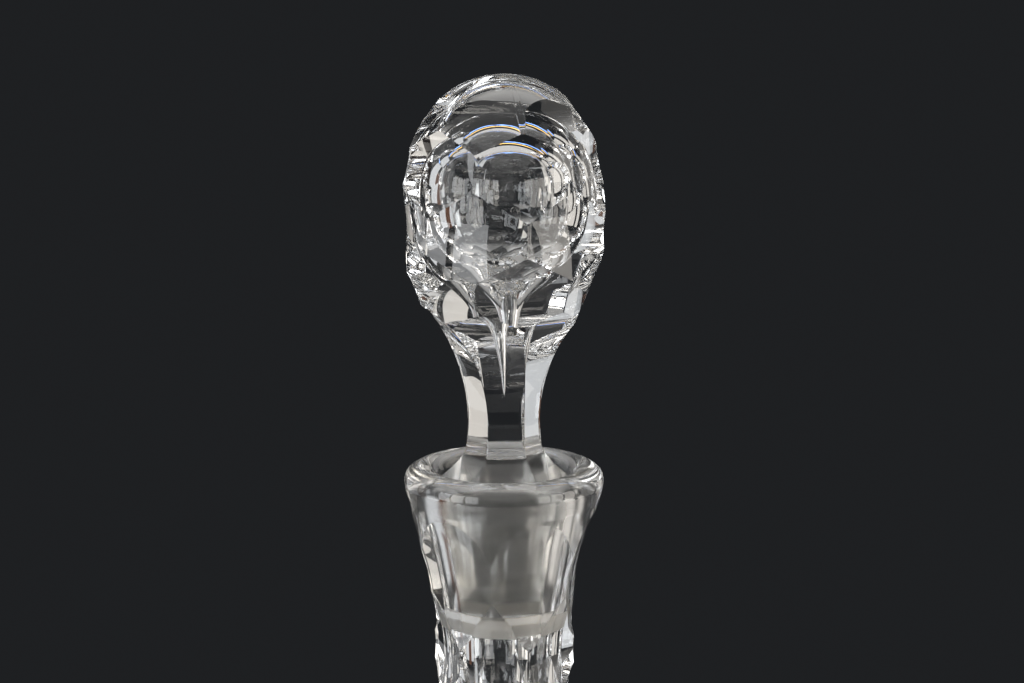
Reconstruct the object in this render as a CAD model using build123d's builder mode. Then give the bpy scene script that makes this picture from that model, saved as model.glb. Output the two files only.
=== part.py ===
from build123d import *

import os
from math import cos, radians, sin, sqrt, tan

# A cut lead-crystal wine decanter: a hollow-blown vessel with a fluted, honeycomb-cut neck, and a
# faceted hollow stopper ground to fit its mouth.  +Z is up, z = 0 is the plane that it stands on.

# Driving dimensions of the vessel, in millimetres and degrees
RIM_HEIGHT = 225.0
GLOBE_RADIUS = 66.0
GLOBE_WALL = 8.5
FLOOR_THICKNESS = 10.0
FOOT_RADIUS = 38.0
FOOT_HEIGHT = 4.0
FOOT_EDGE_RADIUS = 1.5
FOOT_RECESS_RADIUS = 30.0
FOOT_RECESS_DEPTH = 1.6
FOOT_RECESS_SAG = 0.4
STAR_RAYS = 24
STAR_RAY_LENGTH = 27.0
STAR_RAY_HALF_WIDTH = 3.2
STAR_CUT_DEPTH = 3.0
SHOULDER_RADIUS = 26.0
SHOULDER_INNER_RADIUS = 30.0
NECK_RADIUS = 14.7
NECK_FLARE_RADIUS = 16.8
NECK_FLARE_DEPTH = 20.0
NECK_STRAIGHT_DEPTH = 34.0
BORE_RADIUS = 8.8
LIP_RADIUS = 20.0
LIP_DEPTH = 2.6
LIP_FOLD_RADIUS = 18.9
LIP_FOLD_DEPTH = 7.2
MOUTH_RADIUS = 14.6

# The ground joint: one taper for the socket in the neck and the plug of the stopper
SOCKET_TOP_RADIUS = 12.9
SOCKET_TOP_DEPTH = 2.4
SOCKET_BOTTOM_DEPTH = 33.0
SOCKET_TAPER_DEGREES = 7.2
PLUG_CLEARANCE = 0.06
PLUG_BOTTOM_DEPTH = 32.0
PLUG_EDGE_CHAMFER = 0.8

# The stopper above the plug; heights are above the plane of the rim
HEAD_RADIUS = 21.5
HEAD_CENTRE_HEIGHT = 57.3
STEM_RADIUS = 9.6
STEM_TOP_HEIGHT = 13.0
STEM_FOOT_HEIGHT = 3.4
HEAD_TAPER_RADIUS = 18.7
HEAD_TAPER_HEIGHT = 33.0
BUBBLE_RADIUS = 11.6
BUBBLE_CENTRE_HEIGHT = 56.5
TAIL_RADIUS = 3.0
TAIL_WAIST_HEIGHT = 37.0
TAIL_END_HEIGHT = 15.0
TAIL_END_RADIUS = 0.4

# Wheel cuts
FACETS_AROUND = 6
GLOBE_FACETS_AROUND = 12
HEAD_TURN = -100.0
NECK_TURN = -71.0
STAGGER = 180.0 / FACETS_AROUND
GLOBE_STAGGER = 180.0 / GLOBE_FACETS_AROUND
WHEEL_RADIUS = 60.0
GLOBE_WHEEL_RADIUS = 180.0
HEAD_CUT_LENGTH = 26.0
NECK_CUT_LENGTH = 26.0
CUT_HALF_WIDTH = 26.0
GLOBE_CUT_HALF_WIDTH = 30.0
GLOBE_CUT_DEPTH = 3.6
RUN_OUT = 14.0
NECK_ROW_DEPTH = 37.0
NECK_ROW_PITCH = 14.0
NECK_FACET_RADIUS = 12.1

# Rows of the head: height of mid facet above the head's centre and its radius, both as shares of
# the head's radius, the lean of its normal above level, and the turn of its first facet
HEAD_ROWS = [
    (0.712, 0.572, 47.0, HEAD_TURN),
    (0.237, 0.809, 21.0, HEAD_TURN + STAGGER),
    (-0.358, 0.819, -3.0, HEAD_TURN),
    (-0.935, 0.767, -24.0, HEAD_TURN + STAGGER),
]
# Rows of the globe: latitude, length of the cut and turn
GLOBE_ROWS = [
    (-27.0, 44.0, NECK_TURN),
    (0.0, 44.0, NECK_TURN + GLOBE_STAGGER),
    (27.0, 44.0, NECK_TURN),
    (51.0, 30.0, NECK_TURN + GLOBE_STAGGER),
]

# Flutes run along a profile: (radius, height above the rim) at its corners, eased by the wheel
NECK_FLUTE = [(21.5, -6.6), (15.8, -12.2), (12.45, -30.0), (16.4, -38.0)]
NECK_FLUTE_EASE = 7.0
STEM_FLUTE = [(13.2, -4.0), (6.4, 4.2), (6.2, 12.0), (11.6, 29.6), (20.0, 34.5)]
STEM_FLUTE_EASE = 3.0

# The globe stands on its foot
globe_centre_height = FOOT_HEIGHT + sqrt(GLOBE_RADIUS**2 - FOOT_RADIUS**2)


def socket_radius(depth):
    """Radius of the ground taper at a depth below the rim."""
    return SOCKET_TOP_RADIUS - (depth - SOCKET_TOP_DEPTH) * tan(radians(SOCKET_TAPER_DEGREES))


def shoulder_centre(globe_radius, neck_radius, fillet_radius):
    """Centre of the shoulder's hollow arc, tangent to the globe and to the straight neck."""
    across = neck_radius + fillet_radius
    rise = sqrt((globe_radius + fillet_radius) ** 2 - across**2)
    return across, globe_centre_height + rise


def globe_tangent_point(globe_radius, centre, fillet_radius):
    """Where the shoulder's arc touches the globe."""
    share = globe_radius / (globe_radius + fillet_radius)
    return centre[0] * share, globe_centre_height + (centre[1] - globe_centre_height) * share


def shoulder_middle(centre, touch, neck_radius, fillet_radius):
    """The point halfway along the shoulder's hollow arc."""
    across = (touch[0] + neck_radius) / 2 - centre[0]
    up = (touch[1] + centre[1]) / 2 - centre[1]
    share = fillet_radius / sqrt(across**2 + up**2)
    return centre[0] + across * share, centre[1] + up * share


def wheel_cut(radius, height, lean, wheel_radius, half_length, half_width):
    """What a wheel takes off one facet: an arc along the meridian that runs out at both ends."""
    sag = wheel_radius - sqrt(wheel_radius**2 - half_length**2)
    facet = Plane(
        origin=(radius, 0, height),
        x_dir=(cos(radians(lean)), 0, sin(radians(lean))),
        z_dir=(0, -1, 0),
    )
    with BuildPart() as prism:
        with BuildSketch(facet):
            with BuildLine():
                hollow = ThreePointArc((sag, half_length), (0, 0), (sag, -half_length))
                Polyline(
                    hollow @ 1,
                    (sag + RUN_OUT, -half_length - RUN_OUT),
                    (sag + RUN_OUT, half_length + RUN_OUT),
                    hollow @ 0,
                )
            make_face()
        extrude(amount=half_width, both=True)
    return prism.part


def flute(corners, ease, reach):
    """The prism outside a flute's eased profile, as long as the flute is wide."""
    points = [(radius, RIM_HEIGHT + height) for radius, height in corners]
    with BuildPart() as prism:
        with BuildSketch(Plane.XZ):
            with BuildLine():
                run = FilletPolyline(*points, radius=ease)
                Polyline(run @ 1, (reach, points[-1][1]), (reach, points[0][1]), run @ 0)
            make_face()
        extrude(amount=CUT_HALF_WIDTH, both=True)
    return prism.part


def repeat_cut(cutter, count, turn):
    """Cuts the part that is being built with copies of a cutter, evenly round the axis."""
    with PolarLocations(0, count, start_angle=turn):
        add(cutter, mode=Mode.SUBTRACT)


# Meridians of the blanks
outer_shoulder = shoulder_centre(GLOBE_RADIUS, NECK_RADIUS, SHOULDER_RADIUS)
outer_touch = globe_tangent_point(GLOBE_RADIUS, outer_shoulder, SHOULDER_RADIUS)
outer_middle = shoulder_middle(outer_shoulder, outer_touch, NECK_RADIUS, SHOULDER_RADIUS)
inner_radius = GLOBE_RADIUS - GLOBE_WALL
inner_shoulder = shoulder_centre(inner_radius, BORE_RADIUS, SHOULDER_INNER_RADIUS)
inner_touch = globe_tangent_point(inner_radius, inner_shoulder, SHOULDER_INNER_RADIUS)
inner_middle = shoulder_middle(inner_shoulder, inner_touch, BORE_RADIUS, SHOULDER_INNER_RADIUS)
floor_radius = sqrt(inner_radius**2 - (globe_centre_height - FLOOR_THICKNESS) ** 2)
head_centre = RIM_HEIGHT + HEAD_CENTRE_HEIGHT
dome_middle = HEAD_RADIUS * sqrt(0.5)
bubble_centre = RIM_HEIGHT + BUBBLE_CENTRE_HEIGHT

# Cutters.  The neck has as many rows of facets as end above the shoulder.
head_cuts = [
    (
        wheel_cut(
            radius * HEAD_RADIUS,
            head_centre + height * HEAD_RADIUS,
            lean,
            WHEEL_RADIUS,
            HEAD_CUT_LENGTH / 2,
            CUT_HALF_WIDTH,
        ),
        turn,
    )
    for height, radius, lean, turn in HEAD_ROWS
]
neck_room = RIM_HEIGHT - outer_shoulder[1] - NECK_ROW_DEPTH - NECK_ROW_PITCH / 2
neck_row_count = 1 + int(neck_room / NECK_ROW_PITCH)
neck_cuts = [
    (
        wheel_cut(
            NECK_FACET_RADIUS,
            RIM_HEIGHT - NECK_ROW_DEPTH - row * NECK_ROW_PITCH,
            0.0,
            WHEEL_RADIUS,
            NECK_CUT_LENGTH / 2,
            CUT_HALF_WIDTH,
        ),
        NECK_TURN + (row + 1) * STAGGER,
    )
    for row in range(neck_row_count)
]
cut_distance = GLOBE_RADIUS - GLOBE_CUT_DEPTH
globe_cuts = [
    (
        wheel_cut(
            cut_distance * cos(radians(latitude)),
            globe_centre_height + cut_distance * sin(radians(latitude)),
            latitude,
            GLOBE_WHEEL_RADIUS,
            length / 2,
            GLOBE_CUT_HALF_WIDTH,
        ),
        turn,
    )
    for latitude, length, turn in GLOBE_ROWS
]
neck_flute = flute(NECK_FLUTE, NECK_FLUTE_EASE, 2 * LIP_RADIUS)
stem_flute = flute(STEM_FLUTE, STEM_FLUTE_EASE, 2 * HEAD_RADIUS)

with BuildPart() as star_ray:
    with BuildSketch(Plane.YZ):
        with BuildLine():
            Polyline(
                (-STAR_RAY_HALF_WIDTH, 0),
                (STAR_RAY_HALF_WIDTH, 0),
                (0, STAR_CUT_DEPTH),
                close=True,
            )
        make_face()
    extrude(amount=STAR_RAY_LENGTH)

# Vessel
with BuildPart() as vessel:
    with BuildSketch(Plane.XZ):
        with BuildLine():
            Line((0, 0), (FOOT_RADIUS, 0))
            Line((FOOT_RADIUS, 0), (FOOT_RADIUS, FOOT_HEIGHT))
            ThreePointArc(
                (FOOT_RADIUS, FOOT_HEIGHT), (GLOBE_RADIUS, globe_centre_height), outer_touch
            )
            ThreePointArc(outer_touch, outer_middle, (NECK_RADIUS, outer_shoulder[1]))
            Line(
                (NECK_RADIUS, outer_shoulder[1]),
                (NECK_RADIUS, RIM_HEIGHT - NECK_STRAIGHT_DEPTH),
            )
            ThreePointArc(
                (NECK_RADIUS, RIM_HEIGHT - NECK_STRAIGHT_DEPTH),
                (NECK_FLARE_RADIUS, RIM_HEIGHT - NECK_FLARE_DEPTH),
                (LIP_FOLD_RADIUS, RIM_HEIGHT - LIP_FOLD_DEPTH),
            )
            TangentArc(
                (LIP_FOLD_RADIUS, RIM_HEIGHT - LIP_FOLD_DEPTH),
                (LIP_RADIUS, RIM_HEIGHT - LIP_DEPTH),
                tangent=(1, 1),
            )
            lip_round = TangentArc(
                (LIP_RADIUS, RIM_HEIGHT - LIP_DEPTH),
                (LIP_RADIUS - LIP_DEPTH, RIM_HEIGHT),
                tangent=(0, 1),
            )
            Polyline(lip_round @ 1, (0, RIM_HEIGHT), (0, 0))
        make_face()
    revolve(axis=Axis.Z)
    fillet(vessel.edges().filter_by(GeomType.CIRCLE).sort_by(Axis.Z)[0], FOOT_EDGE_RADIUS)
    repeat_cut(neck_flute, FACETS_AROUND, NECK_TURN)
    for cutter, turn in neck_cuts:
        repeat_cut(cutter, FACETS_AROUND, turn)
    for cutter, turn in globe_cuts:
        repeat_cut(cutter, GLOBE_FACETS_AROUND, turn)
    with BuildSketch(Plane.XZ):
        with BuildLine():
            Line((0, FLOOR_THICKNESS), (floor_radius, FLOOR_THICKNESS))
            ThreePointArc(
                (floor_radius, FLOOR_THICKNESS), (inner_radius, globe_centre_height), inner_touch
            )
            ThreePointArc(inner_touch, inner_middle, (BORE_RADIUS, inner_shoulder[1]))
            Polyline(
                (BORE_RADIUS, inner_shoulder[1]),
                (BORE_RADIUS, RIM_HEIGHT - SOCKET_BOTTOM_DEPTH),
                (socket_radius(SOCKET_BOTTOM_DEPTH), RIM_HEIGHT - SOCKET_BOTTOM_DEPTH),
                (SOCKET_TOP_RADIUS, RIM_HEIGHT - SOCKET_TOP_DEPTH),
                (MOUTH_RADIUS, RIM_HEIGHT),
                (0, RIM_HEIGHT),
                (0, FLOOR_THICKNESS),
            )
        make_face()
    revolve(axis=Axis.Z, mode=Mode.SUBTRACT)
    with BuildSketch(Plane.XZ):
        with BuildLine():
            SagittaArc((0, FOOT_RECESS_DEPTH), (FOOT_RECESS_RADIUS, 0), FOOT_RECESS_SAG)
            Polyline((FOOT_RECESS_RADIUS, 0), (0, 0), (0, FOOT_RECESS_DEPTH))
        make_face()
    revolve(axis=Axis.Z, mode=Mode.SUBTRACT)
    repeat_cut(star_ray.part, STAR_RAYS, 0)

vessel.part.label = "vessel"

# Stopper
plug_bottom_radius = socket_radius(PLUG_BOTTOM_DEPTH) - PLUG_CLEARANCE
plug_top_radius = SOCKET_TOP_RADIUS - PLUG_CLEARANCE

with BuildPart() as stopper:
    with BuildSketch(Plane.XZ):
        with BuildLine():
            Polyline(
                (0, RIM_HEIGHT - PLUG_BOTTOM_DEPTH),
                (plug_bottom_radius, RIM_HEIGHT - PLUG_BOTTOM_DEPTH),
                (plug_top_radius, RIM_HEIGHT - SOCKET_TOP_DEPTH),
                (STEM_RADIUS, RIM_HEIGHT + STEM_FOOT_HEIGHT),
                (STEM_RADIUS, RIM_HEIGHT + STEM_TOP_HEIGHT),
            )
            ThreePointArc(
                (STEM_RADIUS, RIM_HEIGHT + STEM_TOP_HEIGHT),
                (HEAD_TAPER_RADIUS, RIM_HEIGHT + HEAD_TAPER_HEIGHT),
                (HEAD_RADIUS, head_centre),
            )
            dome = ThreePointArc(
                (HEAD_RADIUS, head_centre),
                (dome_middle, head_centre + dome_middle),
                (0, head_centre + HEAD_RADIUS),
            )
            Line(dome @ 1, (0, RIM_HEIGHT - PLUG_BOTTOM_DEPTH))
        make_face()
    revolve(axis=Axis.Z)
    chamfer(stopper.edges().filter_by(GeomType.CIRCLE).sort_by(Axis.Z)[0], PLUG_EDGE_CHAMFER)
    repeat_cut(stem_flute, FACETS_AROUND, HEAD_TURN)
    for cutter, turn in head_cuts:
        repeat_cut(cutter, FACETS_AROUND, turn)
    with BuildSketch(Plane.XZ):
        with BuildLine():
            bubble_side = CenterArc((0, bubble_centre), BUBBLE_RADIUS, start_angle=0, arc_size=90)
            tail = Spline(
                bubble_side @ 0,
                (TAIL_RADIUS, RIM_HEIGHT + TAIL_WAIST_HEIGHT),
                (TAIL_END_RADIUS, RIM_HEIGHT + TAIL_END_HEIGHT),
                tangents=[(0, -1), (0, -1)],
            )
            Polyline(tail @ 1, (0, RIM_HEIGHT + TAIL_END_HEIGHT), bubble_side @ 1)
        make_face()
    revolve(axis=Axis.Z, mode=Mode.SUBTRACT)

stopper.part.label = "stopper"

os.makedirs("parts", exist_ok=True)
export_step(vessel.part, "parts/vessel.step")
export_step(stopper.part, "parts/stopper.step")
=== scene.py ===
from math import radians

import bpy
import numpy as np
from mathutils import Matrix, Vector


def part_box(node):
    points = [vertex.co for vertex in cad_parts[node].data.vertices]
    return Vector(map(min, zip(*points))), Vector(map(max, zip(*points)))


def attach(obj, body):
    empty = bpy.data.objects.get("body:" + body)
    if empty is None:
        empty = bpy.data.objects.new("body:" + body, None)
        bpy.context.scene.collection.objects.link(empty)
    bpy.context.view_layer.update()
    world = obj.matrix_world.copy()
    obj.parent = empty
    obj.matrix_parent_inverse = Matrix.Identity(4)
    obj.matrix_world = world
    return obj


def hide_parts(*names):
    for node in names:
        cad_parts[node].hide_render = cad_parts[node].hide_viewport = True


# A cut lead-crystal wine decanter with its stopper.  Shapes are worked out in millimetres, with
# heights counted from the plane of the rim, and set in the frame's metres at the end.

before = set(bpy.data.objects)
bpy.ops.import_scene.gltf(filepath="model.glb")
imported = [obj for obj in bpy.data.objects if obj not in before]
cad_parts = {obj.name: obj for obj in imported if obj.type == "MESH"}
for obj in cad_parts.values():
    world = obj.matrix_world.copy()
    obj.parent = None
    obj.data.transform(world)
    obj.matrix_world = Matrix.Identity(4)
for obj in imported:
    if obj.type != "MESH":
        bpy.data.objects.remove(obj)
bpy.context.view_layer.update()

MM = 0.001
RIM_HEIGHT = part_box("vessel")[1][2] / MM
STOPPER_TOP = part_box("stopper")[1][2] / MM - RIM_HEIGHT
PLUG_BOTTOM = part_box("stopper")[0][2] / MM - RIM_HEIGHT

# ---------------------------------------------------------------------------------------------
# Cut glass: a body of revolution with rows of facets round it, each row staggered on the last
# ---------------------------------------------------------------------------------------------

COLUMNS_PER_WEDGE = 24
WEDGES = 12
COLUMNS = COLUMNS_PER_WEDGE * WEDGES
SIXTH = 60.0
TWELFTH = 30.0
ANGLES = np.arange(COLUMNS) * 360.0 / COLUMNS
HALVINGS = 40
EDGE_ANGLE = 20.0
EDGE_ROUNDING = 0.09

# Unevenness: ripples in each wave, their whole turns round the axis (up to, but not, the second
# number), their radians per millimetre of height, and the radius over which they die out.
RIPPLES = 5
RIPPLE_TURNS = (1, 5)
RIPPLE_RATES = (0.05, 0.22)
AXIS_EASE = 5.0


def smooth_curve(points):
    """A curve through (height, radius) points, sorted by height: a cubic between neighbours whose
    slope at each point is that of the line through the points on either side."""
    heights, radii = np.array(sorted(points), dtype=float).T
    slopes = np.gradient(radii, heights)

    def radius_at(height):
        k = np.clip(np.searchsorted(heights, height) - 1, 0, len(heights) - 2)
        span = heights[k + 1] - heights[k]
        t = (height - heights[k]) / span
        return (
            radii[k] * (1 + 2 * t) * (1 - t) ** 2
            + slopes[k] * span * t * (1 - t) ** 2
            + radii[k + 1] * t**2 * (3 - 2 * t)
            + slopes[k + 1] * span * t**2 * (t - 1)
        )

    return radius_at


def hollow(top, bottom, wheel_radius):
    """A facet's meridian: the line between its two junctions, sunk by the wheel's own curve."""
    (z1, r1), (z2, r2) = top, bottom

    def radius_at(height):
        chord = r1 + (r2 - r1) * (height - z1) / (z2 - z1)
        return chord - (z1 - height) * (height - z2) / (2 * wheel_radius)

    return radius_at


def ring(meridian):
    """A round surface: the same radius all the way round."""
    return lambda angle, height: meridian(height) + 0 * angle


def facets(meridian, turn, pitch=SIXTH, flatness=1.0):
    """A row of facets: the meridian's radius at each facet's middle, growing to the sides as one
    over the cosine of the angle from the middle.  Flatness under 1 leaves the facet pillowed."""

    def radius_at(angle, height):
        off = np.abs((angle - turn + pitch / 2) % pitch - pitch / 2)
        return meridian(height) * (1 + flatness * (1 / np.cos(np.radians(off)) - 1))

    return radius_at


def meeting(upper, lower, top, bottom):
    """The height, in each column, at which one row gives way to the next below it, halved in on
    between two heights."""
    low, high = np.full(COLUMNS, float(bottom)), np.full(COLUMNS, float(top))
    for _ in range(HALVINGS):
        middle = (low + high) / 2
        above = upper(ANGLES, middle) <= lower(ANGLES, middle)
        high = np.where(above, middle, high)
        low = np.where(above, low, middle)
    return (low + high) / 2


def stack(rows, brackets, steps, top, bottom):
    """Rings of (radius, height, cut) down a stack of rows: each row's rings are spread evenly
    between the two lines on which it meets its neighbours, so that every edge lies on the mesh.
    Each bracket holds two heights between which a row meets the next.  Cut is true for each ring
    on a line where two rows meet."""
    lines = [np.full(COLUMNS, float(top))]
    lines += [meeting(a, b, *span) for a, b, span in zip(rows, rows[1:], brackets)]
    lines.append(np.full(COLUMNS, float(bottom)))
    rings = []
    for row, upper, lower, count in zip(rows, lines, lines[1:], steps):
        for share in np.arange(count) / count:
            height = upper + (lower - upper) * share
            rings.append((row(ANGLES, height), height, share == 0 and row is not rows[0]))
    rings.append((rows[-1](ANGLES, lines[-1]), lines[-1], False))
    return rings


def arc(centre, radius, start, end, steps):
    """Points of a circular arc in the meridian plane, from one angle to another, in degrees."""
    turn = np.radians(np.linspace(start, end, steps + 1))
    return list(zip(centre[0] + radius * np.cos(turn), centre[1] + radius * np.sin(turn)))


def line(start, end, steps):
    """Evenly spaced points on a straight run of the meridian."""
    return list(zip(np.linspace(start[0], end[0], steps + 1), np.linspace(start[1], end[1], steps + 1)))


def rounds(points):
    """Full rings through the points of a meridian."""
    return [(np.full(COLUMNS, float(r)), np.full(COLUMNS, float(z)), False) for r, z in points]


def smooth_path(points, steps):
    """A smooth run through (radius, height) points: each coordinate is a cubic of the distance
    along the points."""
    points = np.array(points, dtype=float)
    along = np.concatenate([[0], np.cumsum(np.hypot(*np.diff(points, axis=0).T))])
    radius = smooth_curve(zip(along, points[:, 0]))
    height = smooth_curve(zip(along, points[:, 1]))
    sample = np.linspace(0, along[-1], steps + 1)
    return list(zip(radius(sample), height(sample)))


def skin(rings):
    """Vertices, faces and cut marks of a closed skin through rings of (radius, height, cut), the
    first and last of which are single points on the axis.  Rings that run down the outside face
    outwards.  A vertex's mark is true on a line where two rows of cuts meet."""
    radius, height, cut = (np.array(values) for values in zip(*rings))
    angle = np.radians(ANGLES)
    grid = np.stack([radius * np.cos(angle), radius * np.sin(angle), height], axis=-1)
    vertices = np.concatenate([grid[0, :1], grid[1:-1].reshape(-1, 3), grid[-1, :1]])
    number = np.arange(len(rings) * COLUMNS).reshape(len(rings), COLUMNS) - COLUMNS + 1
    number[0], number[-1] = 0, len(vertices) - 1
    beside = np.roll(number, -1, axis=1)
    quads = np.stack([number[:-1], number[1:], beside[1:], beside[:-1]], axis=-1)
    faces = [quads[0][:, [0, 1, 2]], *quads[1:-1], quads[-1][:, [0, 1, 3]]]
    marks = np.concatenate([[False], np.repeat(cut[1:-1], COLUMNS), [False]])
    return vertices, faces, marks


def warp(vertices, amounts, fade, seed):
    """The unevenness of cutting by hand.  Three long waves over angle and height, each the mean
    of a few ripples, turn, raise and swell the skin by up to the three amounts, in degrees and
    millimetres.  They are multiplied by a fade, a function of height, and die out at the axis."""
    random = np.random.default_rng(seed)
    angle = np.arctan2(vertices[:, 1], vertices[:, 0])
    height = vertices[:, 2]
    share = fade(height)
    turned, raised, swelled = amounts
    waves = []
    for _ in amounts:
        turns = random.integers(*RIPPLE_TURNS, RIPPLES)
        rates = random.uniform(*RIPPLE_RATES, RIPPLES)
        phases = random.uniform(0, 2 * np.pi, RIPPLES)
        wave = sum(np.sin(n * angle + k * height + p) for n, k, p in zip(turns, rates, phases))
        waves.append(wave / RIPPLES * share)
    angle = angle + np.radians(turned) * waves[0]
    radius = np.hypot(vertices[:, 0], vertices[:, 1])
    radius = radius * (1 + swelled * waves[2] / (radius + AXIS_EASE))
    height = height + raised * waves[1] * radius / (radius + AXIS_EASE)
    return np.stack([radius * np.cos(angle), radius * np.sin(angle), height], axis=-1)


def step_between(height, low, high):
    """0 below low, 1 above high and a smooth ease between."""
    t = np.clip((height - low) / (high - low), 0, 1)
    return t * t * (3 - 2 * t)


def add_piece(name, skins, materials, ground):
    """One object of one or more closed skins.  Ground gives, for each ground band of the first
    skin, the number of its material, and all other faces take the first material.  Edges are
    sharp where they lie on a line between two rows of cuts, or turn by more than the edge angle."""
    vertices, faces, slots, cuts = [], [], [], []
    start = 0
    for number, (points, bands, marks) in enumerate(skins):
        vertices.append(points)
        cuts.append(marks)
        for band_number, band in enumerate(bands):
            faces += (band + start).tolist()
            slot = ground.get(band_number, 0) if number == 0 else 0
            slots.append(np.full(len(band), slot, dtype=np.int32))
        start += len(points)
    mesh = bpy.data.meshes.new(name)
    placed = np.concatenate(vertices) + [0, 0, RIM_HEIGHT]
    mesh.from_pydata((placed * MM).tolist(), [], faces)
    mesh.polygons.foreach_set("material_index", np.concatenate(slots))
    mesh.shade_smooth()
    mesh.set_sharp_from_angle(angle=radians(EDGE_ANGLE))
    on_cut = np.concatenate(cuts)
    ends = np.empty(2 * len(mesh.edges), dtype=np.int32)
    mesh.edges.foreach_get("vertices", ends)
    sharp = np.empty(len(mesh.edges), dtype=bool)
    mesh.edges.foreach_get("use_edge_sharp", sharp)
    sharp |= on_cut[ends].reshape(-1, 2).all(axis=1)
    mesh.edges.foreach_set("use_edge_sharp", sharp)
    for material in materials:
        mesh.materials.append(material)
    piece = bpy.data.objects.new(name, mesh)
    bpy.context.scene.collection.objects.link(piece)
    bevel = piece.modifiers.new("polished_edges", "BEVEL")
    bevel.limit_method = "ANGLE"
    bevel.angle_limit = radians(EDGE_ANGLE)
    bevel.width = EDGE_ROUNDING * MM
    bevel.segments = 2
    return piece


# ---------------------------------------------------------------------------------------------
# Ground joint, shared by the socket in the neck and the plug of the stopper
# ---------------------------------------------------------------------------------------------

SOCKET_TOP = (12.9, -2.4)
SOCKET_BOTTOM = -33.0
TAPER = np.tan(radians(7.2))
PLUG_CLEARANCE = 0.06
SOCKET_STEPS = 14
# The lowest bands of the socket take the coarse crystal. Its rougher grinding is real, but its cream,
# milky colour is a painted glow that stands in for the bright rim the light gives there.
COARSE_GLOW_BANDS = 2
SATIN = 1
COARSE_GLOW = 2


def taper_radius(height):
    """Radius of the ground cone at a height above the rim."""
    return SOCKET_TOP[0] + (height - SOCKET_TOP[1]) * TAPER


# ---------------------------------------------------------------------------------------------
# Stopper
# ---------------------------------------------------------------------------------------------

HEAD_TURN = -107.0
HEAD_STAGGERED = HEAD_TURN + SIXTH / 2
HEAD_FLATNESS = 0.66
DOME_RADIUS = 18.6
DOME_TOP = STOPPER_TOP - 0.8
DOME_CENTRE = DOME_TOP - DOME_RADIUS

# Points of (height, radius) between the rows of the head, at the middle of the facets.
CROWN_JUNCTION = (74.4, 11.4)
BROW_JUNCTION = (66.2, 16.9)
TEMPLE_JUNCTION = (54.2, 19.3)
CHEEK_JUNCTION = (42.0, 18.9)
CHIN_JUNCTION = (31.8, 14.9)

# The radius of the wheel that cuts each row, and two heights between which each row, from the
# dome down, meets the next.
HEAD_WHEELS = [32.0, 30.0, 30.0, 34.0]
HEAD_SEAMS = [(77.0, 68.0), (71.5, 61.0), (61.0, 49.0), (49.0, 37.5), (37.5, 25.0)]

# Points of (height, radius) at the middle of the stem's flutes and of the panels at its foot,
# which meet at the stem's break.
STEM_FLUTE = [
    (4.2, 6.5),
    (9.8, 6.25),
    (13.6, 6.5),
    (18.4, 7.4),
    (23.0, 8.9),
    (27.0, 10.95),
    (31.8, 14.9),
    (35.2, 20.4),
]
STEM_BREAK = 4.2
FOOT_PANEL = [
    (5.5, 6.4),
    (4.2, 6.5),
    (2.5, 7.0),
    (1.1, 7.9),
    (-1.0, 9.7),
    (-2.9, 11.8),
    (-4.6, 13.6),
    (-8.5, 17.0),
]
PANEL_SEAM = (-0.5, -8.0)
STEM_TWIST = 21.0
TWIST_SPAN = (10.0, 36.0)

# The rounded edge under the plug, as (inwards, upwards) from its corner, and the rise of the
# middle of its underside.
PLUG_EDGE = [(0.0, 0.8), (0.25, 0.25), (0.9, 0.0)]
PLUG_DISH = 0.5

DOME_STEPS = 18
HEAD_STEPS = [1, 14, 18, 18, 18, 44]
PANEL_STEPS = 12
CONE_STEPS = 14
DISH_STEPS = 5

# Points of (radius, height).
BUBBLE = [
    (0.0, 67.6),
    (4.6, 66.7),
    (8.7, 63.9),
    (11.3, 59.8),
    (12.2, 55.0),
    (12.0, 50.0),
    (10.7, 45.2),
    (8.2, 41.3),
    (5.0, 38.4),
    (2.7, 35.4),
    (1.6, 31.0),
    (0.95, 25.5),
    (0.45, 20.0),
    (0.2, 16.0),
    (0.0, 14.6),
]
BUBBLE_STEPS = 90

STOPPER_UNEVENNESS = (0.5, 0.15, 0.04)
STOPPER_SEED = 11
PLUG_FADE = (5.0, 16.0)


def dome_rings(edge, steps):
    """The smooth cap: a part of a sphere, in rings spread evenly by angle from the axis to the
    line on which the top row of facets leaves it."""
    angle = np.arccos((edge - DOME_CENTRE) / DOME_RADIUS)
    shares = np.arange(steps) / steps
    return [
        (DOME_RADIUS * np.sin(turn), DOME_CENTRE + DOME_RADIUS * np.cos(turn), False)
        for turn in (angle * share for share in shares)
    ]


def twist_stem(vertices):
    """Turns the foot of the stem and the plug by the twist, eased out upwards along the stem."""
    turn = np.radians(STEM_TWIST) * (1 - step_between(vertices[:, 2], *TWIST_SPAN))
    x, y = vertices[:, 0], vertices[:, 1]
    across = x * np.cos(turn) - y * np.sin(turn)
    along = x * np.sin(turn) + y * np.cos(turn)
    return np.stack([across, along, vertices[:, 2]], axis=-1)


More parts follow.
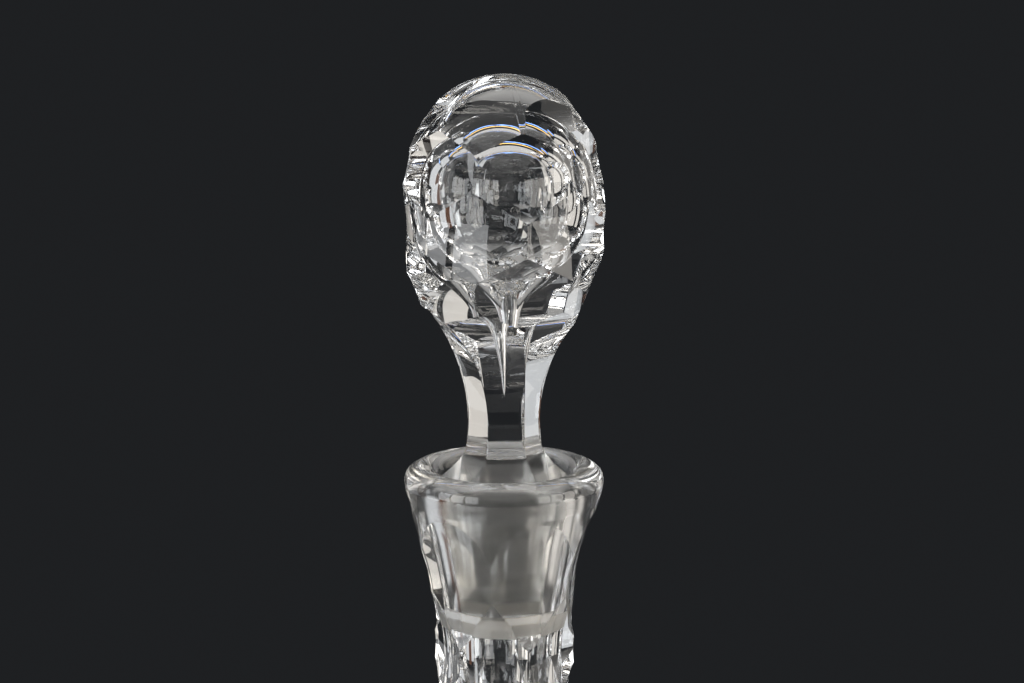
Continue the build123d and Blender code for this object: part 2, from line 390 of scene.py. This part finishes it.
def stopper_rings():
    """The skin of the stopper from its crown to the underside of its plug, and the numbers of its
    ground bands: the dome, four staggered rows of facets, six flutes down the stem, six flared
    panels and the ground cone."""

    def dome(angle, height):
        return np.sqrt(np.maximum(DOME_RADIUS**2 - (height - DOME_CENTRE) ** 2, 0)) + 0 * angle

    junctions = [CROWN_JUNCTION, BROW_JUNCTION, TEMPLE_JUNCTION, CHEEK_JUNCTION, CHIN_JUNCTION]
    turns = [HEAD_TURN, HEAD_STAGGERED] * 2
    head_rows = [
        facets(hollow(top, bottom, wheel), turn, flatness=HEAD_FLATNESS)
        for top, bottom, wheel, turn in zip(junctions, junctions[1:], HEAD_WHEELS, turns)
    ]

    rows = [dome, *head_rows, facets(smooth_curve(STEM_FLUTE), HEAD_TURN)]
    head = stack(rows, HEAD_SEAMS, HEAD_STEPS, DOME_TOP, STEM_BREAK)
    # The first ring only stands in for the dome, whose own rings end on the line of the second.
    dome_edge = head[1][1]
    upper = dome_rings(dome_edge, DOME_STEPS) + head[1:-1]

    cone = ring(lambda height: taper_radius(height) - PLUG_CLEARANCE)
    panels = [facets(smooth_curve(FOOT_PANEL), HEAD_TURN), cone]
    tip = taper_radius(PLUG_BOTTOM) - PLUG_CLEARANCE
    edge = [(tip - inward, PLUG_BOTTOM + up) for inward, up in PLUG_EDGE]
    foot = stack(panels, [PANEL_SEAM], [PANEL_STEPS, CONE_STEPS], STEM_BREAK, edge[0][1])
    underside = edge[1:] + line(edge[-1], (0, PLUG_BOTTOM + PLUG_DISH), DISH_STEPS)[1:]
    ground_start = len(upper) + PANEL_STEPS
    ground = dict.fromkeys(range(ground_start, ground_start + CONE_STEPS), SATIN)
    return upper + foot + rounds(underside), ground


def bubble_rings():
    """The sealed bubble blown in the head, with its drawn-out tail, from its tip upwards so that
    the skin faces the air in it."""
    return rounds(smooth_path(BUBBLE, BUBBLE_STEPS)[::-1])


def stopper_fade(height):
    """The head and the stem are uneven; the foot of the stem and the plug are true."""
    return step_between(height, *PLUG_FADE)


# ---------------------------------------------------------------------------------------------
# Vessel
# ---------------------------------------------------------------------------------------------

NECK_TURN = -68.5
NECK_STAGGERED = NECK_TURN + SIXTH / 2
GLOBE_STAGGERED = NECK_TURN + TWELFTH / 2
NECK_WHEEL = 26.0
GLOBE_WHEEL = 400.0
GLOBE_RADIUS = 66.0
GLOBE_CUT_RADIUS = 64.2
GLOBE_CENTRE = 57.96 - RIM_HEIGHT
GLOBE_INNER_RADIUS = 57.5
FOOT_RADIUS = 38.0
FOOT_HEIGHT = 2.8
FOOT_EDGE = 1.5
RECESS_RADIUS = 30.0
RECESS_DEPTH = 1.6
STAR_RAYS = 24
STAR_DEPTH = 3.0
STAR_SLOPE = 0.94
STAR_REACH = 27.0
STAR_RUNOUT = 6.0
BORE_RADIUS = 8.8
SHOULDER_CENTRE = (40.7, -86.3)
SHOULDER_RADIUS = 26.0
INNER_SHOULDER_CENTRE = (38.8, -88.4)
INNER_SHOULDER_RADIUS = 30.0

# Points of (radius, height) from the socket over the lip, then of (height, radius) down the neck.
LIP_FOOT = -7.4
LIP = [
    SOCKET_TOP,
    (13.7, -1.15),
    (14.8, -0.3),
    (16.2, 0.0),
    (18.1, -0.35),
    (19.5, -1.4),
    (20.0, -2.9),
    (19.7, -4.9),
    (18.9, LIP_FOOT),
]
FLARE = [(LIP_FOOT, 18.9), (-10.0, 18.45), (-14.0, 17.75), (-20.0, 17.6), (-34.0, 17.5)]
NECK_FLUTE = [
    (-5.6, 23.0),
    (-6.8, 20.5),
    (-8.3, 18.75),
    (-10.0, 17.75),
    (-11.5, 16.95),
    (-13.4, 16.15),
    (-16.5, 15.25),
    (-20.3, 14.25),
    (-23.6, 13.7),
    (-26.9, 13.5),
    (-30.1, 13.5),
    (-33.0, 13.5),
    (-36.0, 14.8),
    (-40.0, 18.0),
]
NECK_JUNCTIONS = [(-30.1, 13.5), (-44.3, 13.0), (-58.4, 12.8), (-72.4, 12.9), (-86.4, 13.7)]
GLOBE_TOP_JUNCTION = (-108.5, 29.6)
GLOBE_LATITUDES = [39.0, 13.5, -13.5, -40.5]
WELL_LATITUDE = -42.0

# Points of (radius, height above the base) on the floor of the well that holds the wine.
WELL = [(0.0, 10.0), (12.0, 10.05), (24.0, 10.5), (31.5, 12.4), (37.5, 15.6), (42.73, 19.48)]

FLUTE_MIDDLE = -22.0
SHOULDER_MIDDLE = -104.0
LIP_STEPS = 32
OUTSIDE_STEPS = [4, 28, 12, 12, 12, 16, 10, 8, 8, 8, 8, 8]
WELL_STEPS = 14
GLOBE_STEPS = 26
NECK_ROOT_STEPS = 18
BORE_STEPS = 4
FOOT_EDGE_STEPS = 10
STAR_RINGS = [30.0, 29.0, 28.0, 27.0, 25.5, 23.0, 20.0, 17.0, 14.0, 11.0, 8.0, 5.0, 2.5, 0.0]

VESSEL_UNEVENNESS = (0.5, 0.15, 0.04)
VESSEL_SEED = 12
SOCKET_FADE = (-42.0, -34.0)
FOOT_FADE = (-222.0, -205.0)


def shoulder(height):
    """Radius of the uncut vessel: the hollow arc of the shoulder above, the globe below."""
    drop = np.maximum(SHOULDER_CENTRE[1] - height, 0)
    hollow_arc = SHOULDER_CENTRE[0] - np.sqrt(np.maximum(SHOULDER_RADIUS**2 - drop**2, 0))
    globe = np.sqrt(np.maximum(GLOBE_RADIUS**2 - (height - GLOBE_CENTRE) ** 2, 0))
    touch = GLOBE_CENTRE + (SHOULDER_CENTRE[1] - GLOBE_CENTRE) * GLOBE_RADIUS / (
        GLOBE_RADIUS + SHOULDER_RADIUS
    )
    return np.where(height > touch, hollow_arc, globe)


def globe_junction(latitude):
    """The point of the cut globe's meridian at a latitude."""
    angle = radians(latitude)
    return GLOBE_CENTRE + GLOBE_CUT_RADIUS * np.sin(angle), GLOBE_CUT_RADIUS * np.cos(angle)


def outside_rings():
    """The outside from under the lip to the top of the foot: six flutes, four staggered rows of
    neck facets, the smooth shoulder, and four staggered rows of twelve facets on the globe."""
    neck_rows = [
        facets(hollow(top, bottom, NECK_WHEEL), turn)
        for top, bottom, turn in zip(
            NECK_JUNCTIONS, NECK_JUNCTIONS[1:], [NECK_STAGGERED, NECK_TURN] * 2
        )
    ]
    junctions = [GLOBE_TOP_JUNCTION] + [globe_junction(latitude) for latitude in GLOBE_LATITUDES]
    globe_rows = [
        facets(hollow(top, bottom, GLOBE_WHEEL), turn, pitch=TWELFTH)
        for top, bottom, turn in zip(junctions, junctions[1:], [GLOBE_STAGGERED, NECK_TURN] * 2)
    ]
    uncut = ring(shoulder)
    rows = [ring(smooth_curve(FLARE)), facets(smooth_curve(NECK_FLUTE), NECK_TURN)]
    rows += [*neck_rows, uncut, *globe_rows, uncut]
    foot_top = GLOBE_CENTRE - np.sqrt(GLOBE_RADIUS**2 - FOOT_RADIUS**2)
    middles = [(top[0] + bottom[0]) / 2 for top, bottom in zip(NECK_JUNCTIONS, NECK_JUNCTIONS[1:])]
    globe_middles = [(top[0] + bottom[0]) / 2 for top, bottom in zip(junctions, junctions[1:])]
    marks = [LIP_FOOT, FLUTE_MIDDLE, *middles, SHOULDER_MIDDLE, *globe_middles, foot_top]
    return stack(rows, list(zip(marks, marks[1:])), OUTSIDE_STEPS, LIP_FOOT, foot_top)


def inside_rings():
    """The inside from the middle of the well to the bottom of the ground socket: the rounded well,
    the hollow globe, the shoulder and the bore."""
    well = smooth_path([(r, z - RIM_HEIGHT) for r, z in WELL], WELL_STEPS)
    lean = np.degrees(
        np.arctan2(INNER_SHOULDER_CENTRE[1] - GLOBE_CENTRE, INNER_SHOULDER_CENTRE[0])
    )
    globe = arc((0, GLOBE_CENTRE), GLOBE_INNER_RADIUS, WELL_LATITUDE, lean, GLOBE_STEPS)
    neck_root = arc(INNER_SHOULDER_CENTRE, INNER_SHOULDER_RADIUS, 180 + lean, 180, NECK_ROOT_STEPS)
    bore_foot = (BORE_RADIUS, INNER_SHOULDER_CENTRE[1])
    bore = line(bore_foot, (BORE_RADIUS, SOCKET_BOTTOM), BORE_STEPS)
    return rounds(well + globe[1:] + neck_root[1:] + bore[1:])


def underside_rings():
    """The foot from its top edge to the middle of its underside: a rounded edge, a flat ring to
    stand on, and a shallow recess with a star of V cuts in it."""
    base = -RIM_HEIGHT
    edge = [(FOOT_RADIUS, base + FOOT_HEIGHT)]
    edge += arc((FOOT_RADIUS - FOOT_EDGE, base + FOOT_EDGE), FOOT_EDGE, 0, -90, FOOT_EDGE_STEPS)
    rings = rounds(edge + [((FOOT_RADIUS + RECESS_RADIUS) / 2, base)])
    off = np.radians((ANGLES + 180 / STAR_RAYS) % (360 / STAR_RAYS) - 180 / STAR_RAYS)
    for radius in STAR_RINGS:
        recess = RECESS_DEPTH * (1 - (radius / RECESS_RADIUS) ** 2)
        groove = STAR_DEPTH - STAR_SLOPE * np.abs(radius * np.sin(off))
        groove = np.minimum(groove, STAR_DEPTH * (STAR_REACH - radius) / STAR_RUNOUT)
        rings.append((np.full(COLUMNS, radius), base + np.maximum(recess, groove), False))
    return rings


def vessel_rings():
    """The skin of the vessel from the middle of its well up the inside, over the lip and down the
    outside to the middle of its underside, and the numbers of its ground bands."""
    inside = inside_rings()
    socket_bottom = (taper_radius(SOCKET_BOTTOM), SOCKET_BOTTOM)
    socket = rounds(line(socket_bottom, SOCKET_TOP, SOCKET_STEPS))
    lip = rounds(smooth_path(LIP, LIP_STEPS))
    rings = inside + socket + lip[1:-1] + outside_rings() + underside_rings()
    start = len(inside)
    ground = dict.fromkeys(range(start + COARSE_GLOW_BANDS, start + SOCKET_STEPS - 1), SATIN)
    # The lowest bands take the coarse crystal, whose cream milkiness is a painted glow standing in for
    # light.
    ground.update(dict.fromkeys(range(start, start + COARSE_GLOW_BANDS), COARSE_GLOW))
    return rings, ground


def vessel_fade(height):
    """The neck below the socket and the globe are uneven; the socket, the lip and flutes round it,
    and the foot are true."""
    return (1 - step_between(height, *SOCKET_FADE)) * step_between(height, *FOOT_FADE)


# ---------------------------------------------------------------------------------------------
# Glass
# ---------------------------------------------------------------------------------------------

CRYSTAL_IOR = 1.545
CLEAR = (0.985, 0.99, 0.99)
SILKY = (0.97, 0.96, 0.93)
# The cream of the painted glow on the coarse band at the foot of the socket, which stands in for light.
PAINTED_GLOW_CREAM = (1.0, 0.96, 0.89)
SCRATCH_DEPTH = 0.01


def new_material(name):
    """A new node material, with its node tree and its Principled shader."""
    material = bpy.data.materials.new(name)
    material.use_nodes = True
    tree = material.node_tree
    return material, tree, tree.nodes["Principled BSDF"]


def noise(tree, scale, detail, stretch=(1.0, 1.0, 1.0)):
    """Noise in object space, in turns per metre, stretched along the axes."""
    place = tree.nodes.new("ShaderNodeTexCoord")
    mapping = tree.nodes.new("ShaderNodeMapping")
    mapping.inputs["Scale"].default_value = stretch
    texture = tree.nodes.new("ShaderNodeTexNoise")
    texture.inputs["Scale"].default_value = scale
    texture.inputs["Detail"].default_value = detail
    tree.links.new(place.outputs["Object"], mapping.inputs["Vector"])
    tree.links.new(mapping.outputs["Vector"], texture.inputs["Vector"])
    return texture.outputs["Fac"]


def ramp(tree, value, low, high, start, end):
    """A value eased from start to end while the input goes from low to high."""
    node = tree.nodes.new("ShaderNodeMapRange")
    node.interpolation_type = "SMOOTHSTEP"
    node.inputs["From Min"].default_value = low
    node.inputs["From Max"].default_value = high
    node.inputs["To Min"].default_value = start
    node.inputs["To Max"].default_value = end
    tree.links.new(value, node.inputs["Value"])
    return node.outputs["Result"]


def bump(tree, value, depth, strength):
    """A bump whose depth is in metres."""
    node = tree.nodes.new("ShaderNodeBump")
    node.inputs["Distance"].default_value = depth
    node.inputs["Strength"].default_value = strength
    tree.links.new(value, node.inputs["Height"])
    return node.outputs["Normal"]


def crystal(name, colour, clearness):
    """Lead crystal of a colour, with its node tree and shader.  Clearness is the share of the
    glass that lets light through; the rest is milky."""
    material, tree, shader = new_material(name)
    shader.inputs["Base Color"].default_value = (*colour, 1)
    shader.inputs["Transmission Weight"].default_value = clearness
    shader.inputs["IOR"].default_value = CRYSTAL_IOR
    return material, tree, shader


def polished_crystal():
    """Acid-polished crystal: smooth and clear, with a few faint smudges."""
    material, tree, shader = crystal("polished_crystal", CLEAR, clearness=1.0)
    patches = noise(tree, scale=140, detail=4)
    smudges = ramp(tree, patches, low=0.6, high=0.8, start=0.0, end=0.04)
    tree.links.new(smudges, shader.inputs["Roughness"])
    return material


def ground_crystal(name, colour, clearness, rough):
    """Crystal ground with grit: silky, with a roughness that wanders between two values, and
    thin level scratches round it."""
    material, tree, shader = crystal(name, colour, clearness)
    patches = noise(tree, scale=1.0, detail=2, stretch=(90, 90, 260))
    satin = ramp(tree, patches, low=0.35, high=0.65, start=rough[0], end=rough[1])
    tree.links.new(satin, shader.inputs["Roughness"])
    streaks = noise(tree, scale=1.0, detail=1, stretch=(25, 25, 1500))
    scratches = ramp(tree, streaks, low=0.7, high=0.75, start=0.0, end=1.0)
    relief = bump(tree, scratches, depth=SCRATCH_DEPTH * MM, strength=0.2)
    tree.links.new(relief, shader.inputs["Normal"])
    return material


# ---------------------------------------------------------------------------------------------
# Making the pieces
# ---------------------------------------------------------------------------------------------

polished = polished_crystal()
satin = ground_crystal("satin_crystal", SILKY, clearness=0.96, rough=(0.15, 0.2))
# Coarse crystal: it is rougher, like real coarse grinding, and its cream, milky colour is a painted
# glow that stands in for the light on the socket's lower rim.
coarse_glow = ground_crystal("coarse_crystal_painted_glow", PAINTED_GLOW_CREAM, clearness=0.6, rough=(0.3, 0.4))

rings, ground = stopper_rings()
points, bands, marks = skin(rings)
points = twist_stem(warp(points, STOPPER_UNEVENNESS, stopper_fade, STOPPER_SEED))
stopper_skins = [(points, bands, marks), skin(bubble_rings())]
stopper = add_piece("cut_stopper", stopper_skins, [polished, satin], ground)
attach(stopper, "stopper")
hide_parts("stopper")

rings, ground = vessel_rings()
points, bands, marks = skin(rings)
points = warp(points, VESSEL_UNEVENNESS, vessel_fade, VESSEL_SEED)
vessel = add_piece("cut_vessel", [(points, bands, marks)], [polished, satin, coarse_glow], ground)
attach(vessel, "decanter")
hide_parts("vessel")

# ---------------------------------------------------------------------------------------------
# Floor, world, lamps and camera
# ---------------------------------------------------------------------------------------------

FLOOR_RADIUS = 1.6
FLOOR_SIDES = 96
FLOOR_FADE = (0.16, 0.42)
PALE = (0.55, 0.55, 0.54, 1)
CHARCOAL = (0.0132, 0.0142, 0.0157, 1)
DUSK = (0.12, 0.12, 0.125, 1)


def floor_disc():
    """A round flat floor under the decanter: one ring of points about the origin, at height 0."""
    turn = np.linspace(0, 2 * np.pi, FLOOR_SIDES, endpoint=False)
    vertices = np.stack([FLOOR_RADIUS * np.cos(turn), FLOOR_RADIUS * np.sin(turn), 0 * turn], axis=-1)
    mesh = bpy.data.meshes.new("floor")
    mesh.from_pydata(vertices.tolist(), [], [list(range(FLOOR_SIDES))])
    floor = bpy.data.objects.new("floor", mesh)
    bpy.context.scene.collection.objects.link(floor)
    return floor


def floor_paint():
    """A matt pale floor under the decanter, which fades evenly into the dark room round it."""
    material, tree, shader = new_material("floor_paint")
    shader.inputs["Base Color"].default_value = PALE
    shader.inputs["Roughness"].default_value = 0.9
    shader.inputs["Specular IOR Level"].default_value = 0.1
    place = tree.nodes.new("ShaderNodeTexCoord")
    distance = tree.nodes.new("ShaderNodeVectorMath")
    distance.operation = "LENGTH"
    tree.links.new(place.outputs["Object"], distance.inputs[0])
    solid = ramp(tree, distance.outputs["Value"], *FLOOR_FADE, start=1.0, end=0.0)
    tree.links.new(solid, shader.inputs["Alpha"])
    return material


floor = floor_disc()
floor.data.materials.append(floor_paint())


def paint_world():
    """A charcoal room for every ray that sees it, and a soft grey light for matt surfaces."""
    world = bpy.data.worlds.new("dark_room")
    world.use_nodes = True
    tree = world.node_tree
    background = tree.nodes["Background"]
    rays = tree.nodes.new("ShaderNodeLightPath")
    mix = tree.nodes.new("ShaderNodeMix")
    mix.data_type = "RGBA"
    mix.inputs["A"].default_value = CHARCOAL
    mix.inputs["B"].default_value = DUSK
    tree.links.new(rays.outputs["Is Diffuse Ray"], mix.inputs["Factor"])
    tree.links.new(mix.outputs["Result"], background.inputs["Color"])
    bpy.context.scene.world = world


def softbox(name, place, aim, width, height, radiance, colour):
    """A soft rectangular lamp that the camera doesn't see directly, aimed at a point.  Its power
    is its radiance times its area times pi."""
    lamp = bpy.data.lights.new(name, "AREA")
    lamp.shape = "RECTANGLE"
    lamp.size, lamp.size_y = width, height
    lamp.energy = radiance * width * height * np.pi
    lamp.color = colour
    holder = bpy.data.objects.new(name, lamp)
    holder.location = place
    holder.rotation_euler = (Vector(aim) - Vector(place)).to_track_quat("-Z", "Y").to_euler()
    holder.visible_camera = False
    bpy.context.scene.collection.objects.link(holder)


paint_world()

AIM = (0.0, 0.0, (RIM_HEIGHT + 20.0) * MM)
DAY = (0.96, 0.98, 1.0)
WARM = (1.0, 0.95, 0.88)
WHITE = (1.0, 0.98, 0.95)
CHESTNUT = (1.0, 0.45, 0.25)
AMBER = (1.0, 0.62, 0.2)
BLUE = (0.25, 0.45, 1.0)
LAMP_DISTANCE = 0.95
PANE_SHARE = 0.86
WINDOW_HEIGHTS = (-0.1, 0.62)
WALL_HEIGHTS = (-0.15, 1.1)
CHEST_HEIGHTS = (-0.2, 0.5)


def window(name, bearings, heights, radiance, colour, panes=1, share=1.0):
    """A row of upright panes in an arc about the decanter, between two heights and two bearings
    in degrees from the camera's side, counted clockwise from above.  Each pane fills a share of
    its place."""
    first, last = bearings
    low, high = heights
    width = radians(last - first) * LAMP_DISTANCE / panes
    middle = (low + high) / 2
    aim = (0.0, 0.0, middle)
    for number in range(panes):
        bearing = radians(first + (last - first) * (number + 0.5) / panes)
        place = (-LAMP_DISTANCE * np.sin(bearing), -LAMP_DISTANCE * np.cos(bearing), middle)
        softbox(f"{name}_{number}", place, aim, width * share, high - low, radiance, colour)


# Bright windows in front on either side, pale walls beside and behind, and a chestnut-brown chest
# against the left wall.
window("left_window", (28.0, 80.0), WINDOW_HEIGHTS, 4.0, DAY, panes=3, share=PANE_SHARE)
window("right_window", (-88.0, -38.0), WINDOW_HEIGHTS, 3.6, WARM, panes=3, share=PANE_SHARE)
window("left_wall", (84.0, 99.0), WALL_HEIGHTS, 0.66, DAY)
window("left_chest", (99.0, 115.0), CHEST_HEIGHTS, 0.11, CHESTNUT)
window("left_corner", (115.0, 147.0), WALL_HEIGHTS, 0.66, DAY, panes=2)
window("right_wall", (-128.0, -96.0), WALL_HEIGHTS, 0.7, WARM)
window("right_corner", (-150.0, -135.6), WALL_HEIGHTS, 0.7, WARM)

# The two thin coloured strips stand in for the colours that crystal splits white light into.
softbox("ceiling", (0.0, -0.1, 1.25), AIM, 1.3, 1.3, 0.65, WHITE)
softbox("amber_edge", (0.0, 0.62, 1.2), AIM, 1.3, 0.04, 2.2, AMBER)
softbox("blue_edge", (0.0, 0.71, 1.15), AIM, 1.3, 0.05, 2.4, BLUE)
softbox("behind_camera", (0.0, -1.3, 0.6), AIM, 1.0, 0.9, 0.3, WHITE)

CAMERA_DISTANCE = 0.48
CAMERA_ELEVATION = 10.8
CAMERA_SIDE = 0.0016
CAMERA_AIM = (RIM_HEIGHT + 25.0) * MM
FOCAL_LENGTH = 85.0
FILM_WIDTH = 36.0
NEAREST = 0.01
GLASS_BOUNCES = 28
MIRROR_BOUNCES = 12

optics = bpy.data.cameras.new("camera")
optics.lens = FOCAL_LENGTH
optics.sensor_width = FILM_WIDTH
optics.clip_start = NEAREST
camera = bpy.data.objects.new("camera", optics)
lift = radians(CAMERA_ELEVATION)
camera.location = (
    CAMERA_SIDE,
    -CAMERA_DISTANCE * np.cos(lift),
    CAMERA_AIM + CAMERA_DISTANCE * np.sin(lift),
)
camera.rotation_euler = (radians(90.0) - lift, 0, 0)
bpy.context.scene.collection.objects.link(camera)

scene = bpy.context.scene
scene.camera = camera
scene.view_settings.view_transform = "Standard"
scene.cycles.max_bounces = GLASS_BOUNCES
scene.cycles.transmission_bounces = GLASS_BOUNCES
scene.cycles.glossy_bounces = MIRROR_BOUNCES
scene.cycles.caustics_refractive = True
scene.cycles.caustics_reflective = True
